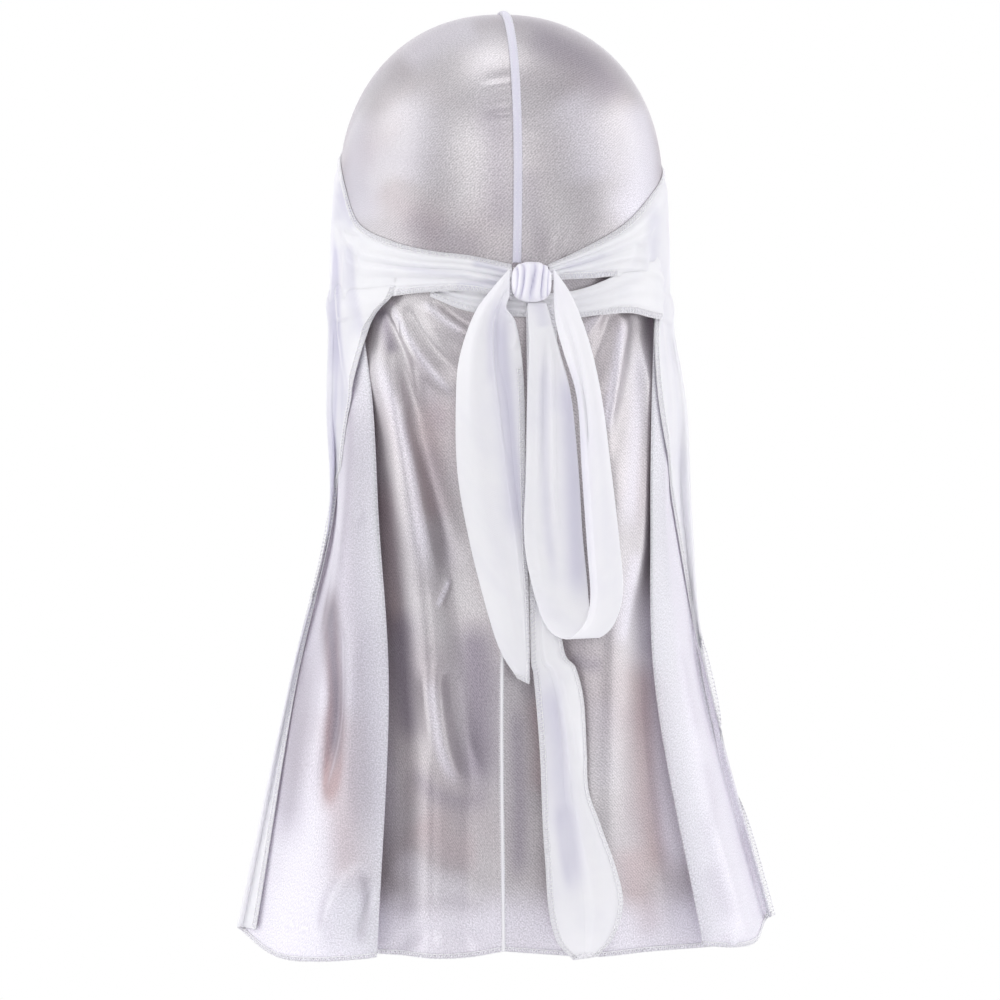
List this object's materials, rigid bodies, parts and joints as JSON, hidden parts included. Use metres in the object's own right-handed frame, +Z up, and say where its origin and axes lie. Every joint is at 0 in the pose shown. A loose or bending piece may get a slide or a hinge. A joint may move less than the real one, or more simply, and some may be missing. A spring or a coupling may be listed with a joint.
{
  "type": "durag",
  "caption": "Satin durag in its worn form: smooth dome crown with a raised middle seam, wide straps tied in a half bow at the nape, and a long pleated cape down the back.",
  "frame": {"origin": "the inside of the crown's top, where the durag sits on the head", "axes": "+Z up along the head, the wearer faces -Y, the knot and the cape are at +Y, the wearer's left is +X"},
  "size_m": [0.2621, 0.2041, 0.4568],
  "materials": {
    "satin_face": "shiny warp-knit satin face, pearl grey with a mauve sheen",
    "satin_reverse": "soft matt white reverse of the satin, lavender in the shade",
    "stitching": "white textured overlock and flatlock thread"
  },
  "bodies": {
    "root": {"crown_left": "satin_face", "crown_right": "satin_face", "crown_seam": "stitching", "front_hem": "satin_reverse", "wrap_left": "satin_reverse", "wrap_right": "satin_reverse", "wrap_under": "satin_reverse", "knot": "satin_reverse", "tie_tail_left": "satin_reverse", "tie_loop": "satin_reverse", "tie_tail_long": "satin_reverse", "cape_left": "satin_face", "cape_right": "satin_face", "cape_seam": "stitching"}
  },
  "joints": []
}
